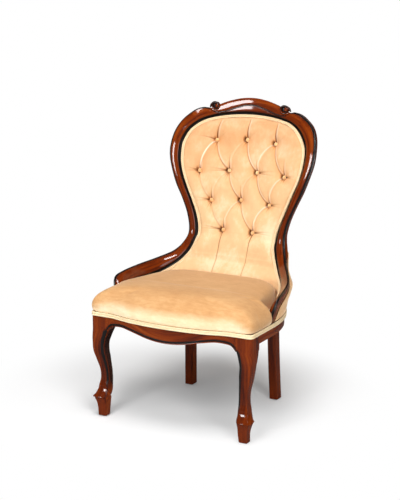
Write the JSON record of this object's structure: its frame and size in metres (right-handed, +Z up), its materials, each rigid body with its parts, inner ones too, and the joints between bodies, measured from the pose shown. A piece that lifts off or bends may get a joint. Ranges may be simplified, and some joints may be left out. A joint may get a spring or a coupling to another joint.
{
  "type": "balloon back chair",
  "caption": "Armless balloon back chair: carved wooden frame, deeply buttoned hollow back, sprung upholstered seat with piping, cabriole front legs and raked rear legs.",
  "frame": {"origin": "on the floor, under the middle of the chair's outline", "axes": "the chair faces -Y, +X is to the right as seen from the front, +Z is up"},
  "size_m": [0.5648, 0.6012, 0.95],
  "materials": {
    "show_wood": "gloss, polished mahogany with ebonised edges",
    "frame_wood": "raw beech",
    "velvet": "short pile velvet",
    "piping": "covered cord",
    "jute": "woven",
    "dust_cloth": "woven",
    "steel": "zinc plated"
  },
  "bodies": {
    "root": {"crest_rail": "show_wood", "back_stile_left": "show_wood", "back_stile_right": "show_wood", "side_sweep_left": "show_wood", "side_sweep_right": "show_wood", "front_leg_left": "show_wood", "front_leg_right": "show_wood", "rear_leg_left": "show_wood", "rear_leg_right": "show_wood", "front_seat_rail": "show_wood", "side_seat_rail_left": "show_wood", "side_seat_rail_right": "show_wood", "back_seat_rail": "frame_wood", "corner_block_front_left": "frame_wood", "corner_block_front_right": "frame_wood", "corner_block_rear_left": "frame_wood", "corner_block_rear_right": "frame_wood", "seat_frame_dowels": "frame_wood", "back_frame_dowels": "frame_wood", "back_tacking_rail": "frame_wood", "corner_block_screws": "steel", "seat_webbing": "jute", "seat_deck": "jute", "back_webbing": "jute", "seat_cushion": "velvet", "back_cushion": "velvet", "back_buttons": "velvet", "outside_back_cover": "velvet", "seat_piping": "piping", "back_piping": "piping", "dust_cover": "dust_cloth", "glide_front_left": "steel", "glide_front_right": "steel", "glide_rear_left": "steel", "glide_rear_right": "steel"}
  },
  "joints": []
}
